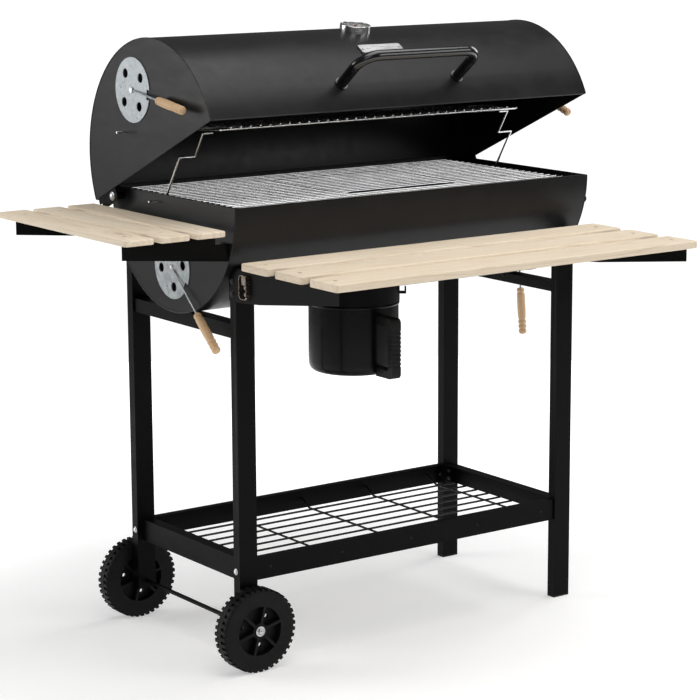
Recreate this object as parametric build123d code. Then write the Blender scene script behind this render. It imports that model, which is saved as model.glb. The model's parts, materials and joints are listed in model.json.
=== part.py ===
from build123d import *
import math
import os

# Barrel charcoal grill on a two-wheeled stand. Millimetres, +Z up, floor at z = 0.
# X runs along the barrel (wheels at -X), the lid handle and the long table face -Y.
# Everything is drawn about the middle of the stand and exported with the middle of the
# whole footprint, tables included, at the origin.

ORIGIN = (87.125, 129.5, 0.0)

# barrel
RIM_Z = 818.0
FB_R = 205.0
FB_HALF = 391.0
SHEET = 1.2
RIM_FLANGE = 6.0
ASH_HOLE_R = 75.0

# lid, described closed and then opened about the hinge
LID_R = 215.0
LID_HALF = 415.0
LID_CY = 7.5
LID_CZ = RIM_Z - 3.0
HINGE_Y = 165.0
HINGE_Z = RIM_Z - 15.0
LID_OPEN = 24.0
HINGE_BOLT_R = 4.0
RUN = 0.06

# stand
LEG_X0 = 341.0
LEG_X1 = 378.0
LEG_Y0 = 164.0
LEG_Y1 = 183.0
LEG_TOP = 712.0
LEG_WALL = 1.5
CROSS_Z0 = 588.0
SHELF_Z0 = 155.0
SHELF_Z1 = 195.0
SHELF_Y = 179.0
SHELF_X = 366.0
RAIL_T = 1.5

# wheels
AXLE_X = -359.5
WHEEL_R = 75.0
WHEEL_W = 31.0
WHEEL_Y = 186.4
AXLE_R = 4.0

# tables
FRONT_TOP = 727.5
FRONT_X = (-392.0, 396.0)
FRONT_ROWS = [(-298.0, -219.0), (-399.0, -320.0), (-500.0, -421.0)]
FRONT_T = 13.0
SIDE_TOP = 785.0
SIDE_Y = 222.0
SIDE_ROWS = [(-477.0, -420.0), (-547.0, -490.0), (-616.0, -559.0)]
SIDE_T = 10.0

# dampers
DISC_R = 57.5
DISC_T = 1.5
HOLE_R = 8.5
HOLE_PCR = 36.0
PIVOT_R = 2.5
WIRE_R = 1.75
LOW_VENT_Z = 694.0
LID_VENT_Y = 10.0
LID_VENT_Z = RIM_Z + 131.0

# grates
GRATE_Z = RIM_Z - 6.0
GRATE_PITCH = 18.6
GRATE_HALF = 362.0
GAP_X0 = -97.5
GAP_X1 = 153.5

# warming rack linkage, at the stored lid angle
RACK_PIN = (104.06, RIM_Z + 106.27)
STRUT_PIN = (49.5, RIM_Z - 13.5)
STRUT_TOP = (-28.95, RIM_Z + 108.93)
RACK_ANGLE = 176.27
RACK_LEN = 170.6
RACK_HALF = 333.0

# ash pot
POT_R = 84.0
POT_Z0 = 463.0
POT_Z1 = 593.5


def box(x0, x1, y0, y1, z0, z1):
    """Box from its limits."""
    size = Box(abs(x1 - x0), abs(y1 - y0), abs(z1 - z0))
    return Pos((x0 + x1) / 2, (y0 + y1) / 2, (z0 + z1) / 2) * size


def rod(p, q, r):
    """Round bar between two points."""
    a = Vector(*p)
    d = Vector(*q) - a
    bar = Cylinder(r, d.length, align=(Align.CENTER, Align.CENTER, Align.MIN))
    return Plane(origin=a, z_dir=d.normalized()) * bar


def wire(points, r):
    """Bent wire with ball corners."""
    shape = rod(points[0], points[1], r)
    for i in range(1, len(points) - 1):
        shape += Pos(*points[i]) * Sphere(r)
        shape += rod(points[i], points[i + 1], r)
    return shape


def barrel(r, half, y=0.0, z=RIM_Z):
    """Solid cylinder along X."""
    return rod((-half, y, z), (half, y, z), r)


def yz_plate(points, x0, x1):
    """Flat plate from a YZ outline."""
    face = Plane.YZ * make_face(Polyline(*points, close=True))
    return Pos(x0, 0, 0) * extrude(face, x1 - x0)


def xz_plate(points, y0, y1):
    """Flat plate from an XZ outline."""
    face = Plane.XZ * make_face(Polyline(*points, close=True))
    return Pos(0, y1, 0) * extrude(face, y1 - y0)


def opened(shape):
    """Turn a piece drawn on the closed lid to the stored lid angle."""
    turn = Pos(0, HINGE_Y, HINGE_Z) * Rot(-LID_OPEN, 0, 0) * Pos(0, -HINGE_Y, -HINGE_Z)
    return turn * shape


def group(parts):
    """Separate solids kept in one node."""
    solids = []
    for p in parts:
        solids += list(p.solids())
    return Compound(children=solids)


def save(name, shape):
    export_step(Pos(*ORIGIN) * shape, "parts/" + name + ".step")


def polar(y, z, r, deg):
    """Point in the YZ plane."""
    a = math.radians(deg)
    return (y + r * math.cos(a), z + r * math.sin(a))


def hole_angles(handle):
    return [handle + 45, handle + 135, handle - 135, handle - 45]


def vent_holes(x, y, z, handle, depth):
    """Cutters for the four vent holes and the pivot bolt."""
    cut = rod((x - depth, y, z), (x + depth, y, z), PIVOT_R)
    for a in hole_angles(handle):
        hy, hz = polar(y, z, HOLE_PCR, a)
        cut += rod((x - depth, hy, hz), (x + depth, hy, hz), HOLE_R)
    return cut


# handle directions in YZ, degrees from +Y towards +Z
LOW_LEFT_DIR = 216.0
LOW_RIGHT_DIR = 270.0
LID_LEFT_DIR = 210.0
LID_RIGHT_DIR = 227.0


def leg(sx, sy, z0):
    """Rectangular tube leg, notched round the barrel."""
    x0, x1 = sorted((sx * LEG_X0, sx * LEG_X1))
    y0, y1 = sorted((sy * LEG_Y0, sy * LEG_Y1))
    tube = box(x0, x1, y0, y1, z0, LEG_TOP)
    w = LEG_WALL
    tube -= box(x0 + w, x1 - w, y0 + w, y1 - w, z0 - 1, LEG_TOP + 1)
    tube -= barrel(FB_R + 0.4, 500)
    if sx < 0:
        tube -= rod((AXLE_X, -250, WHEEL_R), (AXLE_X, 250, WHEEL_R), AXLE_R)
    for z in (167.0, 183.0):
        tube -= rod((sx * 355, sy * 150, z), (sx * 355, sy * 170, z), 3.0)
    tube -= rod((sx * 330, sy * 171.5, 175.0), (sx * 390, sy * 171.5, 175.0), 3.0)
    if sy < 0:
        for z in (668.0, 690.0):
            tube -= rod((sx * 330, sy * 174, z), (sx * 390, sy * 174, z), 3.0)
    return max(tube.solids(), key=lambda s: s.volume)


def foot_caps():
    """Plastic plugs in the two resting legs."""
    caps = []
    for sy in (-1, 1):
        y0, y1 = sorted((sy * LEG_Y0, sy * LEG_Y1))
        w = LEG_WALL
        cap = box(LEG_X0, LEG_X1, y0, y1, 0, 4)
        cap += box(LEG_X0 + w, LEG_X1 - w, y0 + w, y1 - w, 4, 22)
        caps.append(cap)
    return group(caps)


def cross_rail(sx):
    """Angle rail between a front and a back leg that carries the barrel."""
    top = RIM_Z - FB_R
    x0, x1 = sorted((sx * 345.0, sx * 374.0))
    web = box(sx * 374.0, sx * (374.0 - RAIL_T), -LEG_Y0, LEG_Y0, CROSS_Z0, top)
    flange = box(x0, x1, -LEG_Y0, LEG_Y0, top - RAIL_T, top)
    rail = web + flange
    for sy in (-1, 1):
        y0, y1 = sorted((sy * LEG_Y0, sy * (LEG_Y0 - RAIL_T)))
        rail += box(x0, x1, y0, y1, CROSS_Z0, top)
    rail -= rod((sx * 359.5, 0, top - 10), (sx * 359.5, 0, top + 10), 3.0)
    return rail


def shelf_rail_long(sy):
    """Front or back angle rail of the lower shelf."""
    web = box(-LEG_X0, LEG_X0, sy * SHELF_Y, sy * (SHELF_Y - RAIL_T), SHELF_Z0, SHELF_Z1)
    lip = box(-LEG_X0, LEG_X0, sy * SHELF_Y, sy * (SHELF_Y - 14), SHELF_Z1 - RAIL_T, SHELF_Z1)
    rail = web + lip
    for sx in (-1, 1):
        rail += box(sx * LEG_X0, sx * (LEG_X0 - RAIL_T), sy * SHELF_Y, sy * 165.5, SHELF_Z0, SHELF_Z1)
        rail -= rod((sx * 330, sy * 171.5, 175.0), (sx * 390, sy * 171.5, 175.0), 3.0)
    for x in (-310, -155, 0, 155, 310):
        rail -= rod((x, sy * 150, 175.0), (x, sy * 200, 175.0), 2.0)
    return rail


def shelf_rail_short(sx):
    """Left or right angle rail of the lower shelf."""
    web = box(sx * SHELF_X, sx * (SHELF_X - RAIL_T), -LEG_Y0, LEG_Y0, SHELF_Z0, SHELF_Z1)
    lip = box(sx * SHELF_X, sx * 344.0, -LEG_Y0, LEG_Y0, SHELF_Z1 - RAIL_T, SHELF_Z1)
    rail = web + lip
    for sy in (-1, 1):
        rail += box(sx * SHELF_X, sx * 344.0, sy * LEG_Y0, sy * (LEG_Y0 - RAIL_T), SHELF_Z0, SHELF_Z1)
        for z in (167.0, 183.0):
            rail -= rod((sx * 355, sy * 150, z), (sx * 355, sy * 200, z), 3.0)
    return rail


def shelf_grid():
    """Wire shelf: five bent cross rods held in the rails, eight long wires on them."""
    z = 162.0
    grid = None
    for x in (-310, -155, 0, 155, 310):
        pts = [(x, -178.6, 175.0), (x, -171, 175.0), (x, -150, z), (x, 150, z), (x, 171, 175.0), (x, 178.6, 175.0)]
        bar = wire(pts, 2.0)
        grid = bar if grid is None else grid + bar
    for i in range(8):
        y = -126.0 + 36.0 * i
        grid += rod((-340, y, z + 3.6), (340, y, z + 3.6), 2.0)
    return grid


def bolt(p, q, head=5.0, shank=3.0, h=3.0, nut=True):
    """Bolt from head seat p to nut seat q."""
    a = Vector(*p)
    b = Vector(*q)
    d = (b - a).normalized()
    out = rod(p, q, shank)
    out += rod(tuple(a), tuple(a - d * h), head)
    if nut:
        out += rod(tuple(b), tuple(b + d * 4.0), head)
    return out


def frame_bolts():
    """Bolts of the stand, the barrel, the tables and the lower damper pivots."""
    out = []
    for sx in (-1, 1):
        for sy in (-1, 1):
            for z in (167.0, 183.0):
                p = (sx * 355, sy * (LEG_Y0 - RAIL_T), z)
                out.append(bolt(p, (sx * 355, sy * (LEG_Y0 + LEG_WALL), z), h=2.5))
            p = (sx * LEG_X1, sy * 171.5, 175.0)
            out.append(bolt(p, (sx * (LEG_X0 - RAIL_T), sy * 171.5, 175.0), h=2.5))
        top = RIM_Z - FB_R
        rivet = rod((sx * 359.5, 0, top - 12), (sx * 359.5, 0, top + 4), 3.0)
        rivet += rod((sx * 359.5, 0, top - RAIL_T - 4), (sx * 359.5, 0, top - RAIL_T), 6.0)
        rivet += rod((sx * 359.5, 0, top + SHEET + 0.2), (sx * 359.5, 0, top + 5), 6.0)
        rivet -= barrel(FB_R, 500) - barrel(FB_R - SHEET, 501) - rod((sx * 359.5, 0, 600), (sx * 359.5, 0, 640), 3.0)
        out.append(rivet)
        for z in (668.0, 690.0):
            p = (sx * (LEG_X1 + RAIL_T), -174.0, z)
            out.append(bolt(p, (sx * LEG_X0, -174.0, z), h=2.5))
        for sy in (-1, 1):
            for z in (736.0, 752.0):
                if sx < 0:
                    p = (-FB_HALF - RAIL_T, sy * 171.0, z)
                    out.append(bolt(p, (-FB_HALF + SHEET, sy * 171.0, z), head=4.5, shank=2.5, h=2.5))
    for sx, dirn in ((-1, LOW_LEFT_DIR), (1, LOW_RIGHT_DIR)):
        x = sx * (FB_HALF + 0.4 + DISC_T + 0.4)
        out.append(bolt((x, 0, LOW_VENT_Z), (sx * (FB_HALF - SHEET), 0, LOW_VENT_Z), head=4.8, shank=PIVOT_R))
    dome = Pos(FB_HALF, -188.0, 771.0) * Rot(0, 90, 0) * Cylinder(8.5, 5, align=(Align.CENTER, Align.CENTER, Align.MIN))
    dome += Pos(FB_HALF + 5, -188.0, 771.0) * (Sphere(8.5) & Pos(5, 0, 0) * Box(10, 40, 40))
    out.append(dome)
    return group(out)


def firebox_shell():
    """Lower half of the barrel, open on top, with the ash outlet."""
    half = FB_HALF - SHEET
    shell = barrel(FB_R, half) - barrel(FB_R - SHEET, half + 1)
    shell &= box(-400, 400, -300, 300, 400, RIM_Z)
    for sy in (-1, 1):
        y_wall = math.sqrt((FB_R - SHEET / 2) ** 2 - SHEET ** 2)
        lip = box(-half, half, sy * (FB_R - SHEET - RIM_FLANGE), sy * y_wall, RIM_Z - SHEET, RIM_Z)
        shell += lip
    shell -= rod((0, 0, 550), (0, 0, 700), ASH_HOLE_R)
    for sx in (-1, 1):
        shell -= rod((sx * 359.5, 0, 600), (sx * 359.5, 0, 640), 3.0)
    return shell


def half_disc(r, x0, x1, y, z, upper):
    """Half disc plate across X."""
    disc = rod((x0, y, z), (x1, y, z), r)
    if upper:
        return disc & box(min(x0, x1) - 1, max(x0, x1) + 1, y - 400, y + 400, z, z + 400)
    return disc & box(min(x0, x1) - 1, max(x0, x1) + 1, y - 400, y + 400, z - 400, z)


def firebox_end(sx):
    """End plate of the lower barrel with its four vent holes."""
    plate = half_disc(FB_R, sx * (FB_HALF - SHEET), sx * FB_HALF, 0, RIM_Z, False)
    handle = LOW_LEFT_DIR if sx < 0 else LOW_RIGHT_DIR
    plate -= vent_holes(sx * FB_HALF, 0, LOW_VENT_Z, handle, 10)
    y, z = STRUT_PIN
    plate -= rod((sx * 380, y, z), (sx * 400, y, z), 2.0 + RUN)
    plate -= rod((sx * 380, HINGE_Y, HINGE_Z), (sx * 400, HINGE_Y, HINGE_Z), HINGE_BOLT_R)
    if sx < 0:
        for sy in (-1, 1):
            for zb in (736.0, 752.0):
                plate -= rod((-380, sy * 171.0, zb), (-400, sy * 171.0, zb), 2.5)
    return plate


def grate_ledges():
    """Two ledges inside the front and back walls that carry the cooking grate."""
    out = []
    for sy in (-1, 1):
        top = RIM_Z - 13.0
        ledge = box(-380, 380, sy * 187.0, sy * 215.0, top - 1.5, top)
        ledge += box(-380, 380, sy * 187.0, sy * 188.5, top - 10, top)
        out.append(ledge & barrel(FB_R - SHEET, 385))
    return group(out)


def charcoal_grate():
    """Wire grate for the coals, its rods cut to the barrel's inner wall."""
    z = RIM_Z - 130.0
    grate = None
    for x in (-330, -110, 110, 330):
        bar = rod((x, -190, z), (x, 190, z), 3.0)
        grate = bar if grate is None else grate + bar
    for i in range(15):
        y = -140.0 + 20.0 * i
        grate += rod((-375, y, z + 4.6), (375, y, z + 4.6), 2.0)
    return grate & barrel(FB_R - SHEET, 388)


def cooking_grate():
    """Cooking grate with an opening for the lift-out centre."""
    zr = GRATE_Z - 4.2
    grate = None
    for x in (-345, -220, GAP_X0, GAP_X1, 250, 345):
        bar = rod((x, -194, zr), (x, 194, zr), 2.5)
        grate = bar if grate is None else grate + bar
    for k in range(-10, 11):
        y = GRATE_PITCH * k
        if abs(k) <= 6:
            grate += rod((-GRATE_HALF, y, GRATE_Z), (GAP_X0 + 4.5, y, GRATE_Z), 2.0)
            grate += rod((GAP_X1 - 4.5, y, GRATE_Z), (GRATE_HALF, y, GRATE_Z), 2.0)
        else:
            grate += rod((-GRATE_HALF, y, GRATE_Z), (GRATE_HALF, y, GRATE_Z), 2.0)
    return grate


def grate_insert():
    """Lift-out centre of the cooking grate. Its wires lie between the cut wires' ends, on
    the same two rods, and its own three rods hang in the opening."""
    zw = GRATE_Z + 0.8
    zr = zw - 4.2
    ins = None
    for x in (GAP_X0 + 12.5, 28, GAP_X1 - 12.5):
        bar = rod((x, -113, zr), (x, 113, zr), 2.5)
        ins = bar if ins is None else ins + bar
    for k in range(-6, 6):
        y = GRATE_PITCH * (k + 0.5)
        ins += rod((GAP_X0 - 5.5, y, zw), (GAP_X1 + 5.5, y, zw), 2.0)
    return ins


def ash_collar():
    """Collar under the barrel that holds the ash pot."""
    collar = rod((0, 0, 594), (0, 0, 640), 86.0) - rod((0, 0, 590), (0, 0, 650), 79.6)
    collar -= barrel(FB_R, 500)
    collar += rod((0, 0, 582), (0, 0, 596), 81.0) - rod((0, 0, 570), (0, 0, 600), 79.6)
    tab = box(85.0, 98.0, -8, 8, 606, 609) + box(95.0, 98.0, -8, 8, 606, 618)
    collar += Rot(0, 0, -36) * tab
    return collar


def ash_pot():
    """Round ash pot, open at the top."""
    outer = rod((0, 0, POT_Z0), (0, 0, POT_Z1), POT_R)
    outer = fillet(outer.edges().group_by(Axis.Z)[0], 14.0)
    inner = rod((0, 0, POT_Z0 + 1.5), (0, 0, POT_Z1 + 5), POT_R - 1.5)
    inner = fillet(inner.edges().group_by(Axis.Z)[0], 12.5)
    bead = rod((0, 0, POT_Z1 - 6), (0, 0, POT_Z1), POT_R + 1.8) - rod((0, 0, 500), (0, 0, 700), POT_R - 0.5)
    return (outer - inner) + bead


def ash_pot_handle():
    """D handle of the ash pot with finger ribs."""
    body = box(-10, 10, -134, -60, 464, 576)
    body -= box(-20, 20, -120, -60, 479, 561)
    edges = body.edges().filter_by(Axis.X).group_by(Axis.Y)[0]
    body = fillet(edges, 9.0)
    for i in range(9):
        z = 488.0 + 8.0 * i
        body -= rod((-20, -135.2, z), (20, -135.2, z), 2.2)
        for sx in (-1, 1):
            body -= rod((sx * 11.2, -150, z), (sx * 11.2, -100, z), 2.0)
    body -= rod((0, 0, 400), (0, 0, 600), POT_R)
    return body


def plank(x0, x1, y0, y1, top, thick, holes):
    """Board with rounded corners, eased edges and screw holes."""
    board = box(x0, x1, y0, y1, top - thick, top)
    board = fillet(board.edges().filter_by(Axis.Z), 6.0)
    board = fillet(board.edges().group_by(Axis.Z)[-1], 2.4)
    board = fillet(board.edges().group_by(Axis.Z)[0], 1.6)
    for hx, hy in holes:
        board -= rod((hx, hy, top - 40), (hx, hy, top + 5), 2.0)
        board -= rod((hx, hy, top - 1.5), (hx, hy, top + 5), 4.2)
    return board


def front_screws(row):
    y = (row[0] + row[1]) / 2
    return [(-367.0, y), (367.0, y)]


def side_screws(row):
    x = (row[0] + row[1]) / 2
    return [(x, -171.0), (x, 171.0)]


def table_screws():
    """Flush screws through the boards and the bracket flanges, with nuts below."""
    out = []
    front = (FRONT_ROWS, front_screws, FRONT_TOP, FRONT_T)
    side = (SIDE_ROWS, side_screws, SIDE_TOP, SIDE_T)
    for rows, fn, top, thick in (front, side):
        for row in rows:
            for x, y in fn(row):
                under = top - thick - RAIL_T
                s = rod((x, y, top - 1.5), (x, y, top - 0.2), 4.2)
                s += rod((x, y, under - 7), (x, y, top - 1.0), 2.0)
                s += rod((x, y, under - 4), (x, y, under), 4.0)
                out.append(s)
    return group(out)


def bracket_front(sx):
    """Tapered sheet arm under the long table, bolted to a front leg."""
    x0 = sx * LEG_X1
    x1 = sx * (LEG_X1 + RAIL_T)
    top = FRONT_TOP - FRONT_T
    pts = [(-164, 655), (-164, 700), (-205, top), (-488, top), (-488, top - 24), (-258, 660), (-200, 655)]
    web = yz_plate(pts, min(x0, x1), max(x0, x1))
    flange = box(x1, sx * 352.0, -488, -207, top - RAIL_T, top)
    arm = web + flange
    arm -= barrel(FB_R + 0.6, 500)
    for z in (668.0, 690.0):
        arm -= rod((sx * 370, -174, z), (sx * 390, -174, z), 3.0)
    for row in FRONT_ROWS:
        x, y = front_screws(row)[0 if sx < 0 else 1]
        arm -= rod((x, y, 600), (x, y, 720), 2.0)
    return max(arm.solids(), key=lambda s: s.volume)


def bracket_side(sy):
    """Tapered sheet arm under the side table, bolted to the barrel's end plate."""
    top = SIDE_TOP - SIDE_T
    y0, y1 = sorted((sy * 183.0, sy * 184.5))
    pts = [(-391.0, 726), (-391.0, 757), (-419.0, 757), (-419.0, top), (-600.0, top), (-600.0, 747)]
    web = xz_plate(pts, y0, y1)
    flange = box(-600, -419, sy * 184.5, sy * 158.0, top - RAIL_T, top)
    foot = box(-391.0 - RAIL_T, -391.0, sy * 184.5, sy * 160.0, 726, 757)
    foot = foot & barrel(FB_R, 500)
    arm = web + flange + foot
    for z in (736.0, 752.0):
        arm -= rod((-380, sy * 171.0, z), (-400, sy * 171.0, z), 2.5)
    for row in SIDE_ROWS:
        for x, y in side_screws(row):
            arm -= rod((x, y, 700), (x, y, 780), 2.0)
    return arm


def bottle_opener():
    """Stamped cup opener on the left front arm."""
    x = -(LEG_X1 + RAIL_T)
    outer = box(x - 8, x, -229, -206, 664, 706)
    outer = fillet(outer.edges().filter_by(Axis.X), 8.0)
    inner = box(x - 20, x - 1.2, -227.6, -207.4, 665.4, 704.6)
    inner = fillet(inner.edges().filter_by(Axis.X), 6.6)
    cup = outer - inner
    tongue = box(x - 6, x - 1.0, -223, -212, 696, 705)
    tongue += box(x - 6, x - 4.4, -223, -212, 689, 698)
    cup += tongue
    for z in (672.0, 684.0):
        cup += rod((x - 3.0, -217.5, z), (x - 1.0, -217.5, z), 3.0)
    return cup


def axle():
    """Round axle through the two left legs, with end caps."""
    y = WHEEL_Y + WHEEL_W + 0.5
    bar = rod((AXLE_X, -y - 4, WHEEL_R), (AXLE_X, y + 4, WHEEL_R), AXLE_R)
    for s in (-1, 1):
        bar += rod((AXLE_X, s * y, WHEEL_R), (AXLE_X, s * (y + 2), WHEEL_R), 9.0)
        bar += rod((AXLE_X, s * (y + 2), WHEEL_R), (AXLE_X, s * (y + 7), WHEEL_R), 6.5)
        bar += rod((AXLE_X, s * LEG_Y1, WHEEL_R), (AXLE_X, s * (WHEEL_Y - 0.5), WHEEL_R), 8.0)
    return bar


def wheel(s):
    """Moulded wheel: tread blocks, dished web, six spokes and a hub."""
    y0 = s * WHEEL_Y
    y1 = s * (WHEEL_Y + WHEEL_W)
    ym = (y0 + y1) / 2
    c = (AXLE_X, WHEEL_R)
    tyre = rod((c[0], y0, c[1]), (c[0], y1, c[1]), WHEEL_R - 3.0)
    tyre = fillet(tyre.edges(), 4.0)
    tyre += rod((c[0], ym - 4, c[1]), (c[0], ym + 4, c[1]), WHEEL_R)
    n = 40
    for i in range(n):
        a = 360.0 * i / n
        for t in (-1, 1):
            yb = ym + t * (WHEEL_W / 2 - 6.0)
            block = Box(6.2, 10.0, 6.5)
            place = Pos(c[0], yb, c[1]) * Rot(0, a + t * 2.2, 0) * Pos(0, 0, WHEEL_R - 3.35)
            tyre += place * block
    for t in (0, 1):
        yo = y1 if t else y0
        yi = ym + (3.0 * s if t else -3.0 * s)
        ya, yb = sorted((yi, yo + s * (2 if t else -2)))
        pocket = rod((c[0], ya, c[1]), (c[0], yb, c[1]), 44.0) - rod((c[0], ya, c[1]), (c[0], yb, c[1]), 14.0)
        for i in range(6):
            spoke = Pos(c[0], (ya + yb) / 2, c[1]) * Rot(0, 60.0 * i + 15, 0) * Pos(0, 0, 27)
            pocket -= spoke * Box(5.0, abs(yb - ya), 54)
        tyre -= pocket
    for i in range(6):
        a = math.radians(60.0 * i + 45)
        p = (c[0] + 30 * math.sin(a), c[1] + 30 * math.cos(a))
        if i % 2 == 0:
            tyre -= rod((p[0], y0 - s * 5, p[1]), (p[0], y1 + s * 5, p[1]), 4.0)
    tyre -= rod((c[0], y0 - s * 5, c[1]), (c[0], y1 + s * 5, c[1]), AXLE_R + RUN)
    return tyre


def lid_shell():
    """Curved skin of the lid."""
    half = LID_HALF - SHEET
    shell = barrel(LID_R, half, LID_CY, LID_CZ) - barrel(LID_R - SHEET, half + 1, LID_CY, LID_CZ)
    shell &= box(-500, 500, -400, 400, LID_CZ, LID_CZ + 400)
    ty, tz = polar(LID_CY, LID_CZ, LID_R + 20, 123.0)
    shell -= rod((0, LID_CY, LID_CZ), (0, ty, tz), 5.0)
    for sx in (-1, 1):
        hy, hz = polar(LID_CY, LID_CZ, LID_R + 20, 166.25)
        shell -= rod((sx * 128, LID_CY, LID_CZ), (sx * 128, hy, hz), 3.0)
    return opened(shell)


def lid_end(sx):
    """End plate of the lid with its four vent holes."""
    plate = half_disc(LID_R, sx * (LID_HALF - SHEET), sx * LID_HALF, LID_CY, LID_CZ, True)
    handle = LID_LEFT_DIR if sx < 0 else LID_RIGHT_DIR
    plate -= vent_holes(sx * LID_HALF, LID_VENT_Y, LID_VENT_Z, handle, 10)
    plate -= rod((sx * 400, 60.0, RIM_Z + 71.0), (sx * 430, 60.0, RIM_Z + 71.0), 2.0 + RUN)
    return opened(plate)


def hinge_plates():
    """Ears inside the lid's rear corners that turn on the hinge bolts."""
    out = []
    for sx in (-1, 1):
        x0, x1 = sorted((sx * (LID_HALF - SHEET - 1.5), sx * (LID_HALF - SHEET)))
        ear = box(x0, x1, 150, 216, LID_CZ - 24, LID_CZ + 16)
        ear = fillet(ear.edges().filter_by(Axis.X), 9.0)
        ear -= rod((sx * 400, HINGE_Y, HINGE_Z), (sx * 430, HINGE_Y, HINGE_Z), HINGE_BOLT_R + RUN)
        slot = box(x0 - 1, x1 + 1, 207, 230, LID_CZ - 15, LID_CZ - 12)
        out.append(opened(ear - slot))
    return group(out)


def hinge_bolts():
    """Shouldered hinge bolts fixed to the lower barrel."""
    out = []
    for sx in (-1, 1):
        y, z = HINGE_Y, HINGE_Z
        xe = LID_HALF - SHEET
        b = rod((sx * (FB_HALF - SHEET - 6), y, z), (sx * (xe + 0.4), y, z), HINGE_BOLT_R)
        b += rod((sx * (FB_HALF - SHEET - 5), y, z), (sx * (FB_HALF - SHEET), y, z), 7.0)
        b += rod((sx * FB_HALF, y, z), (sx * (xe - 1.9), y, z), 7.5)
        b += rod((sx * (xe + 0.4), y, z), (sx * (xe + 4.0), y, z), 7.0)
        out.append(b)
    return group(out)


def lid_handle():
    """Bent tube handle standing on the lid's front."""
    r_foot = LID_R
    r_bar = LID_R + 85.0
    bend = 34.0
    pts = [(-128, 0, r_foot - 4), (-128, 0, r_bar), (128, 0, r_bar), (128, 0, r_foot - 4)]
    path = FilletPolyline(*pts, radius=bend)
    section = Plane(origin=path @ 0, z_dir=path % 0) * Circle(9.5)
    tube = sweep(section, path=path)
    for sx in (-1, 1):
        tube += rod((sx * 128, 0, r_foot - 4), (sx * 128, 0, r_foot + 2.2), 12.0)
    tube = Rot(166.25 - 90.0, 0, 0) * tube
    tube = Pos(0, LID_CY, LID_CZ) * tube
    tube -= barrel(LID_R, 500, LID_CY, LID_CZ)
    return opened(tube)


def radial(deg):
    """Frame on the lid's skin: local +Z points outwards at the given angle."""
    return Pos(0, LID_CY, LID_CZ) * Rot(deg - 90.0, 0, 0) * Pos(0, 0, LID_R)


def badge():
    """Blank name plate with two rivets."""
    plate = box(-46, 46, -11.5, 11.5, 0.1, 3.2)
    plate = fillet(plate.edges().filter_by(Axis.Z), 4.0)
    plate = radial(145.5) * plate
    plate -= barrel(LID_R, 500, LID_CY, LID_CZ)
    for x in (-40, 40):
        plate += radial(145.5) * rod((x, 0, 2.0), (x, 0, 4.6), 2.4)
    return opened(plate)


def thermo_bezel():
    """Rim, case and stem of the lid thermometer."""
    ring = rod((0, 0, -3), (0, 0, 12), 28.0)
    ring -= rod((0, 0, 7), (0, 0, 20), 25.5)
    ring = fillet(ring.edges().group_by(Axis.Z)[-1], 0.8)
    ring = radial(123.0) * ring
    ring -= barrel(LID_R, 500, LID_CY, LID_CZ)
    ring += radial(123.0) * rod((0, 0, -45), (0, 0, 3), 4.0)
    ring += radial(123.0) * rod((0, 0, -3), (0, 0, 1), 5.0)
    ring += radial(123.0) * rod((0, 0, -7), (0, 0, -2.0), 8.0)
    return opened(ring)


def thermo_dial():
    return opened(radial(123.0) * rod((0, 0, 7), (0, 0, 8), 25.5))


def thermo_glass():
    return opened(radial(123.0) * rod((0, 0, 10.2), (0, 0, 11.4), 25.5))


def lid_fasteners():
    """Handle bolts and damper pivots on the lid."""
    out = []
    for sx in (-1, 1):
        inner = rod((sx * 128, 0, -6.0), (sx * 128, 0, -0.05), 3.0)
        inner += rod((sx * 128, 0, -6.5), (sx * 128, 0, -1.6), 7.0)
        out.append(opened(radial(166.25) * inner))
        x = sx * (LID_HALF + 0.4 + DISC_T + 0.4)
        q = (sx * (LID_HALF - SHEET), LID_VENT_Y, LID_VENT_Z)
        out.append(opened(bolt((x, LID_VENT_Y, LID_VENT_Z), q, head=4.8, shank=PIVOT_R)))
    return group(out)


def damper(sx, x_face, y, z, handle, reach):
    """Damper disc with its wire handle; the wire leans a little outwards."""
    x0 = sx * (x_face + 0.4)
    x1 = sx * (x_face + 0.4 + DISC_T)
    disc = rod((x0, y, z), (x1, y, z), DISC_R)
    disc -= rod((x0 - sx * 5, y, z), (x1 + sx * 5, y, z), PIVOT_R + RUN)
    for a in hole_angles(handle):
        hy, hz = polar(y, z, HOLE_PCR, a)
        disc -= rod((x0 - sx * 5, hy, hz), (x1 + sx * 5, hy, hz), HOLE_R)
    notch = Pos(x0, y, z) * Rot(handle, 0, 0) * Pos(0, DISC_R, 0) * Box(20, 18, 18)
    disc -= notch
    py, pz = polar(y, z, 7.0, handle)
    qy, qz = polar(y, z, reach + 18, handle)
    xs = x1 + sx * 1.4
    disc += rod((xs, py, pz), (xs + sx * 10.0, qy, qz), WIRE_R)
    return disc


def grip(sx, x_face, y, z, handle, reach, length):
    """Turned wooden grip on a damper wire."""
    x1 = sx * (x_face + 0.4 + DISC_T)
    xs = x1 + sx * 1.4
    p = Vector(xs, *polar(y, z, 7.0, handle))
    q = Vector(xs + sx * 10.0, *polar(y, z, reach + 18, handle))
    d = (q - p).normalized()
    start = p + d * (reach - 7.0)
    prof = [(0, 0), (5.0, 0), (7.0, 3), (7.4, 8), (5.6, 11), (7.2, 14), (7.9, 30), (7.7, length - 34)]
    prof += [(6.4, length - 26), (7.6, length - 22), (6.0, length - 18), (7.4, length - 13)]
    prof += [(5.8, length - 9), (7.2, length - 5), (5.8, length), (0, length)]
    face = Plane.XZ * make_face(Polyline(*prof, close=True))
    turned = revolve(face, Axis.Z)
    turned = Plane(origin=start, z_dir=d) * turned
    return turned - rod(tuple(p), tuple(q), WIRE_R)


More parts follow.
